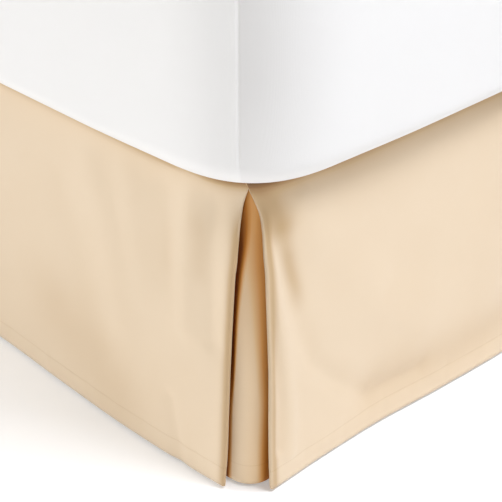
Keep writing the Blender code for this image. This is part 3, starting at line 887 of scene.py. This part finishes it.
def makePleat(side, material):
    foot, beside = faces["foot"], faces[side]
    atLeft = side == "left"
    topRadius = pleat["topRadius"]

    def place(column, row):  # columns run from 0, the foot arm's end, to 3, the side arm's end
        height, inset = seamTurn(row, 0.0, -skirt["topBelowDeck"])
        down = np.maximum(deckTop - skirt["topBelowDeck"] - height, 0.0)
        spread = ease(down / pleat["cornerFade"])
        radius = topRadius + (pleat["cornerAtHem"] - topRadius) * spread
        footOut = pleatOut(foot, radius, down, atLeft)
        sideOut = pleatOut(beside, radius, down, False)
        turn = np.clip(column - 1.0, 0.0, 1.0) * math.pi / 2
        x = sideOut - radius + radius * np.sin(turn)
        y = -footOut + radius - radius * np.cos(turn)
        footStart, sideStart = radius - sideOut, radius - footOut
        footAlong = footStart + (pleat["reach"] - footStart) * np.clip(1.0 - column, 0.0, 1.0)
        sideAlong = sideStart + (pleat["reach"] - sideStart) * np.clip(column - 2.0, 0.0, 1.0)
        onFoot, onSide = column < 1.0, column > 2.0
        x = np.where(onFoot, -footAlong, x)
        y = np.where(onFoot, -pleatOut(foot, footAlong, down, atLeft), y)
        x = np.where(onSide, pleatOut(beside, sideAlong, down, False), x)
        y = np.where(onSide, sideAlong, y)
        x = x - inset * np.sin(turn)
        y = y + inset * np.cos(turn)
        sign = beside["out"].x
        return np.stack([beside["corner"].x + sign * x, beside["corner"].y + y, height], axis=-1)

    columns = ticks([(0.0, 1.0, 1.0 / pleat["armColumns"]), (1.0, 2.0, 1.0 / pleat["turnColumns"]),
                     (2.0, 3.0, 1.0 / pleat["armColumns"])])
    piece = clothSheet(side + "Pleat", columns, dropRows(), place, material)
    for loop in piece.data.uv_layers["cloth"].data:
        loop.uv = (loop.uv[0] * pleat["uvWidth"], loop.uv[1])
    writeShade(piece, pleatShade(piece.data, columns))
    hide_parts("pleat_" + side)
    print("made the", side, "pleat")
    return piece


# The deck


deck = {"corner": 0.055, "seamGap": 0.001, "bands": [(0.06, 0.006)], "step": 0.04}


def fromCorners(x, y, halfWidth, halfLength, radius):  # centres of the round corners, and off them
    centreX = np.clip(x, radius - halfWidth, halfWidth - radius)
    centreY = np.clip(y, radius - halfLength, halfLength - radius)
    return centreX, centreY, x - centreX, y - centreY


def roundedPlan(x, y, halfWidth, halfLength):  # a rectangle's points, moved to round its corners
    centreX, centreY, dx, dy = fromCorners(x, y, halfWidth, halfLength, deck["corner"])
    square = np.maximum(abs(dx), abs(dy))
    roundSize = (dx ** 2 + dy ** 2) ** 0.5
    share = np.where(roundSize > 1e-9, square / np.maximum(roundSize, 1e-9), 1.0)
    return centreX + dx * share, centreY + dy * share


def makeDeck(material):
    seam = skirt["seamRadius"] + skirt["seamLap"] + deck["seamGap"]
    footEdge = -deckLength / 2 + seam + faces["foot"]["tuck"]
    halfWidth, halfLength = deckWidth / 2 - seam - faces["right"]["tuck"], deckLength / 2

    def place(column, row):
        x, y = roundedPlan(column, row, halfWidth, halfLength)
        y = np.where(y < 0, y * footEdge / -halfLength, y)
        return np.stack([x, y, np.full(np.shape(x), deckTop - skirt["cloth"] / 2)], axis=-1)

    columns = bandTicks(halfWidth, deck["bands"], deck["step"])
    rows = bandTicks(halfLength, deck["bands"], deck["step"])
    piece = clothSheet("deckSheet", columns, rows, place, material)
    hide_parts("deck")
    print("made the deck")
    return piece


# The mattress


mattress = {
    "corner": 0.140,
    "power": 2.6,
    "rounding": 0.030,
    "lowRounding": 0.022,  # along the sides, below
    "lowFrom": 0.084,  # from a corner
    "lowOver": 0.20,
    "crown": 0.010,
    "crownFrom": 0.01,
    "crownOver": 0.14,
    "bulge": 0.0025,
    "seamFromCorner": 0.0224,
    "seamDepth": 0.0016,
    "seamWidth": 0.0012,
    "seamEnds": 0.022,  # above the bottom
    "seamTop": 0.002,
    "seamFade": 0.02,
    "lapAt": 0.005,  # the seam's inner fold shows as a low ridge beside it
    "lapWidth": 0.004,
    "lapOut": 0.0008,
    # painted shade on the sheet beside the corner seams
    "shadeFade": 0.004,
    "shadeReach": 0.17,
    "shadeLow": 0.45,  # its share at the bottom
    "shadeOver": 0.14,
    "bandsAcross": [(0.045, 0.0018), (0.15, 0.007)],
    "bandsAlong": [(0.15, 0.006)],
    "step": 0.018,
    "rimStep": 0.005,
    "wallStep": 0.008,
}


def boxGrid(xs, ys, zs):  # a closed box whose faces are cut at these places
    bm = bmesh.new()
    bmesh.ops.create_cube(bm, size=1.0)
    for axis, places in enumerate((xs, ys, zs)):
        rungs = [edge for edge in bm.edges
                 if abs(edge.verts[0].co[axis] - edge.verts[1].co[axis]) > 0.5]
        bmesh.ops.subdivide_edges(bm, edges=rungs, cuts=len(places) - 2, use_grid_fill=True)
    return bm


def makeMattress(material):
    halfWidth = (mattressHigh.x - mattressLow.x) / 2
    halfLength = (mattressHigh.y - mattressLow.y) / 2
    bottom, top = mattressLow.z, mattressHigh.z - mattress["crown"]
    corner, edge, power = mattress["corner"], mattress["rounding"], mattress["power"]
    xs = bandTicks(halfWidth, mattress["bandsAcross"], mattress["step"])
    ys = bandTicks(halfLength, mattress["bandsAlong"], mattress["step"])
    zs = ticks([(bottom, bottom + edge, mattress["rimStep"]),
                (bottom + edge, top - edge, mattress["wallStep"]),
                (top - edge, top, mattress["rimStep"])])
    bm = boxGrid(xs, ys, zs)
    cube = np.array([vert.co[:] for vert in bm.verts]) + 0.5
    x, y, z = (pick(places, cube[:, axis]) for axis, places in enumerate((xs, ys, zs)))

    centreX, centreY, dx, dy = fromCorners(x, y, halfWidth, halfLength, corner)
    reach = np.maximum(abs(dx), abs(dy))  # corner on the sides, less on the top and bottom
    size = (abs(dx) ** power + abs(dy) ** power) ** (1 / power)
    wayX = np.where(size > 1e-9, dx / np.maximum(size, 1e-9), 0.0)
    wayY = np.where(size > 1e-9, dy / np.maximum(size, 1e-9), 0.0)

    inward = corner - reach
    fromEnd = np.minimum(top - z, z - bottom)
    fromCorner = np.maximum(halfWidth - abs(x), halfLength - abs(y))
    tight = ease((fromCorner - mattress["lowFrom"]) / mattress["lowOver"])
    edge = edge + (mattress["lowRounding"] - edge) * tight * (z - bottom < top - z)
    a = np.maximum(edge - inward, 0.0)
    b = np.maximum(edge - fromEnd, 0.0)
    both = (a > 0) & (b > 0)
    arc = np.where(both, np.maximum(a, b) / np.maximum(np.hypot(a, b), 1e-9), 1.0)
    newInward = np.where(both, edge - a * arc, inward)
    newFromEnd = np.where(both, edge - b * arc, fromEnd)
    z = np.where(top - z < z - bottom, top - newFromEnd, bottom + newFromEnd)

    across = newInward
    middle = np.sin(np.clip((z - bottom) / (top - bottom), 0, 1) * math.pi)
    onSide = ease(1.0 - across / edge)
    across = across - mattress["bulge"] * middle * onSide
    away = (halfWidth - abs(x)) - mattress["seamFromCorner"]
    fade = mattress["seamFade"]
    seamUp = ease((z - bottom - mattress["seamEnds"]) / fade)
    seamUp = seamUp * ease((top - mattress["seamTop"] - z) / fade)
    groove = bump(away, mattress["seamWidth"]) * seamUp
    lap = bump(away - mattress["lapAt"], mattress["lapWidth"]) * seamUp
    atSide = (abs(dy) >= corner - 1e-6) & (inward < 1e-6)
    across = across + np.where(atSide, mattress["seamDepth"] * groove - mattress["lapOut"] * lap, 0.0)
    px = centreX + wayX * (corner - across)
    py = centreY + wayY * (corner - across)

    depth = np.minimum(halfWidth - abs(px), halfLength - abs(py)) - mattress["crownFrom"]
    crown = mattress["crown"] * (1.0 - np.exp(-np.maximum(depth, 0.0) / mattress["crownOver"]))
    z = z + np.where(z > (top + bottom) / 2, crown * ease((z - top + edge) / edge), 0.0)
    for vert, point in zip(bm.verts, np.stack([px, py, z], axis=-1)):
        vert.co = point
    piece = finishPiece(bm, "fittedSheetMattress", material, sharp=1.4)
    # painted shade beside each corner seam, toward the corner, fading along the side and weaker low
    # down
    atCorner = 1.0 - ease((halfLength - abs(y)) / mattress["shadeReach"])
    low = mattress["shadeLow"]
    upward = low + (1.0 - low) * ease((z - bottom) / mattress["shadeOver"])
    writeShade(piece, ease(-away / mattress["shadeFade"]) * atCorner * (inward < edge) * upward)
    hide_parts("mattress")
    print("made the mattress")
    return piece


# The base and its legs


base = {"edge": 0.006, "footCorner": 0.078, "headCorner": 0.014}


def bevel(bm, edges, size, segments):
    bmesh.ops.bevel(bm, geom=edges, offset=size, segments=segments, profile=0.5, affect="EDGES",
                    material=-1)


def makeBase(material):
    halfWidth = (baseHigh.x - baseLow.x) / 2
    halfLength = (baseHigh.y - baseLow.y) / 2
    bm = bmesh.new()
    bmesh.ops.create_cube(bm, size=1.0)
    bmesh.ops.scale(bm, vec=(2 * halfWidth, 2 * halfLength, baseHigh.z - baseLow.z), verts=bm.verts)
    bmesh.ops.translate(bm, vec=(0.0, 0.0, (baseHigh.z + baseLow.z) / 2), verts=bm.verts)
    posts = [item for item in bm.edges if abs(item.verts[0].co.z - item.verts[1].co.z) > 0.1]
    foot = [item for item in posts if item.verts[0].co.y < 0]
    head = [item for item in posts if item.verts[0].co.y > 0]
    bevel(bm, foot, base["footCorner"], 12)
    bevel(bm, head, base["headCorner"], 6)
    rims = [item for item in bm.edges if abs(item.verts[0].co.z - item.verts[1].co.z) < 1e-6]
    bevel(bm, rims, base["edge"], 4)
    piece = finishPiece(bm, "bedBase", material, sharp=0.8)
    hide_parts("base")
    print("made the base")
    return piece


leg = {"foot": 0.021, "top": 0.030, "rim": 0.002, "steps": 40}


def makeLeg(node, material):
    low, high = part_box(node)
    centre = (low + high) / 2
    rim = leg["rim"]
    profile = [(0.001, low.z), (leg["foot"] - rim, low.z), (leg["foot"] - rim * 0.3, low.z + rim * 0.3),
               (leg["foot"], low.z + rim), (leg["top"], high.z)]
    bm = bmesh.new()
    verts = [bm.verts.new((x, 0.0, z)) for x, z in profile]
    verts.append(bm.verts.new((0.001, 0.0, high.z)))
    lines = [bm.edges.new(pair) for pair in zip(verts, verts[1:])]
    bmesh.ops.spin(bm, geom=verts + lines, axis=(0, 0, 1), cent=(0, 0, 0), angle=2 * math.pi,
                   steps=leg["steps"], use_merge=True)
    bmesh.ops.holes_fill(bm, edges=bm.edges, sides=0)
    bmesh.ops.recalc_face_normals(bm, faces=bm.faces)
    bmesh.ops.translate(bm, vec=(centre.x, centre.y, 0.0), verts=bm.verts)
    words = node.split("_")
    name = words[0] + "".join(word.capitalize() for word in words[1:])
    piece = finishPiece(bm, name, material, sharp=0.6)
    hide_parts(node)
    return piece


# Floor, lights and camera


room = {
    "floorColor": color(0.90, 0.90, 0.90),
    "floorGlow": 0.25,
    "floorSize": 40.0,
    "sky": 0.12,
    "distance": 5.0,
    "lights": [  # degrees round from +X toward +Y and above the floor, width, height, watts
        {"round": 35.0, "above": 64.0, "width": 2.0, "height": 2.0, "watts": 202.0,
         "tint": (1.0, 1.018, 1.068)},
        {"round": 60.0, "above": 14.0, "width": 3.2, "height": 2.0, "watts": 26.0,
         "tint": (1.0, 1.018, 1.068)},
        {"round": -62.0, "above": 13.0, "width": 1.2, "height": 1.4, "watts": 57.0,
         "tint": (1.0, 0.975, 0.93)},
        {"round": -44.0, "above": 24.0, "width": 1.6, "height": 1.6, "watts": 17.0,
         "tint": (1.0, 1.0, 1.0)},
        {"round": -150.0, "above": 20.0, "width": 2.2, "height": 2.2, "watts": 120.0,
         "tint": (1.0, 1.0, 1.0)},
    ],
}


def makeFloor():
    bm = bmesh.new()
    bmesh.ops.create_grid(bm, x_segments=1, y_segments=1, size=room["floorSize"] / 2)
    mesh = bpy.data.meshes.new("floor")
    bm.to_mesh(mesh)
    bm.free()
    floor = bpy.data.objects.new("floor", mesh)
    bpy.context.scene.collection.objects.link(floor)
    paint = Paint("floorPaint")
    mesh.materials.append(paint.finish({"Base Color": room["floorColor"], "Roughness": 0.9,
                                        "Specular IOR Level": 0.1,
                                        "Emission Color": color(1.0, 1.0, 1.0),
                                        "Emission Strength": room["floorGlow"]}))
    return floor


def makeLights():
    world = bpy.data.worlds.new("studio")
    bpy.context.scene.world = world
    world.use_nodes = True
    background = world.node_tree.nodes["Background"]
    background.inputs["Color"].default_value = color(1.0, 1.0, 1.0)
    background.inputs["Strength"].default_value = room["sky"]
    corner = Vector((deckHigh.x, deckLow.y, deckTop / 2))
    for i, wanted in enumerate(room["lights"]):
        lamp = bpy.data.lights.new("softLight" + str(i), "AREA")
        lamp.shape = "RECTANGLE"
        lamp.size = wanted["width"]
        lamp.size_y = wanted["height"]
        lamp.energy = wanted["watts"]
        lamp.color = wanted["tint"]
        turn, rise = math.radians(wanted["round"]), math.radians(wanted["above"])
        way = Vector((math.cos(turn) * math.cos(rise), math.sin(turn) * math.cos(rise), math.sin(rise)))
        holder = bpy.data.objects.new("softLight" + str(i), lamp)
        holder.location = corner + way * room["distance"]
        holder.rotation_euler = (-way).to_track_quat("-Z", "Y").to_euler()
        bpy.context.scene.collection.objects.link(holder)


view = {
    "turn": 46.0,  # degrees round from looking along +Y
    "tilt": 30.0,
    "distance": 1.6,
    "pixelsPerMetre": 932.0,
    "cornerPixel": (251.6, 356.0),  # where the skirt's corner at half its height is seen
    "frame": 502,
}


def makeCamera():
    turn, tilt = math.radians(view["turn"]), math.radians(view["tilt"])
    forward = Vector((-math.sin(turn) * math.cos(tilt), math.cos(turn) * math.cos(tilt),
                      -math.sin(tilt)))
    right = Vector((math.cos(turn), math.sin(turn), 0.0))
    up = right.cross(forward)
    focal = view["pixelsPerMetre"] * view["distance"]
    aim = Vector((deckHigh.x, deckLow.y, deckTop / 2))
    aside = (view["cornerPixel"][0] - view["frame"] / 2) / focal
    raised = -(view["cornerPixel"][1] - view["frame"] / 2) / focal
    lens = bpy.data.cameras.new("camera")
    lens.sensor_width = 36.0
    lens.lens = focal / view["frame"] * lens.sensor_width
    camera = bpy.data.objects.new("camera", lens)
    turned = Matrix((right, up, -forward)).transposed().to_4x4()
    turned.translation = aim - view["distance"] * (forward + aside * right + raised * up)
    camera.matrix_world = turned
    bpy.context.scene.collection.objects.link(camera)
    bpy.context.scene.camera = camera


def main():
    cloth = skirtClothPaint("skirtCloth", clothLook["dropStops"], 1.0)
    # the same sateen, with the pleat's deeper painted shade and less sheen and specular
    pleatCloth = skirtClothPaint("pleatCloth", clothLook["pleatStops"], 0.2)
    makeBase(baseCoverPaint())
    wood = legWoodPaint()
    for node in sorted(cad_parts):
        if node.startswith("leg_"):
            makeLeg(node, wood)
    print("made the legs")
    makeDeck(deckClothPaint())
    for side in faces:
        makeDrop(side, cloth)
    for side in ("left", "right"):
        makePleat(side, pleatCloth)
    makeMattress(fittedSheetPaint())
    makeFloor()
    makeLights()
    makeCamera()


bpy.context.scene.view_settings.view_transform = "Standard"
main()
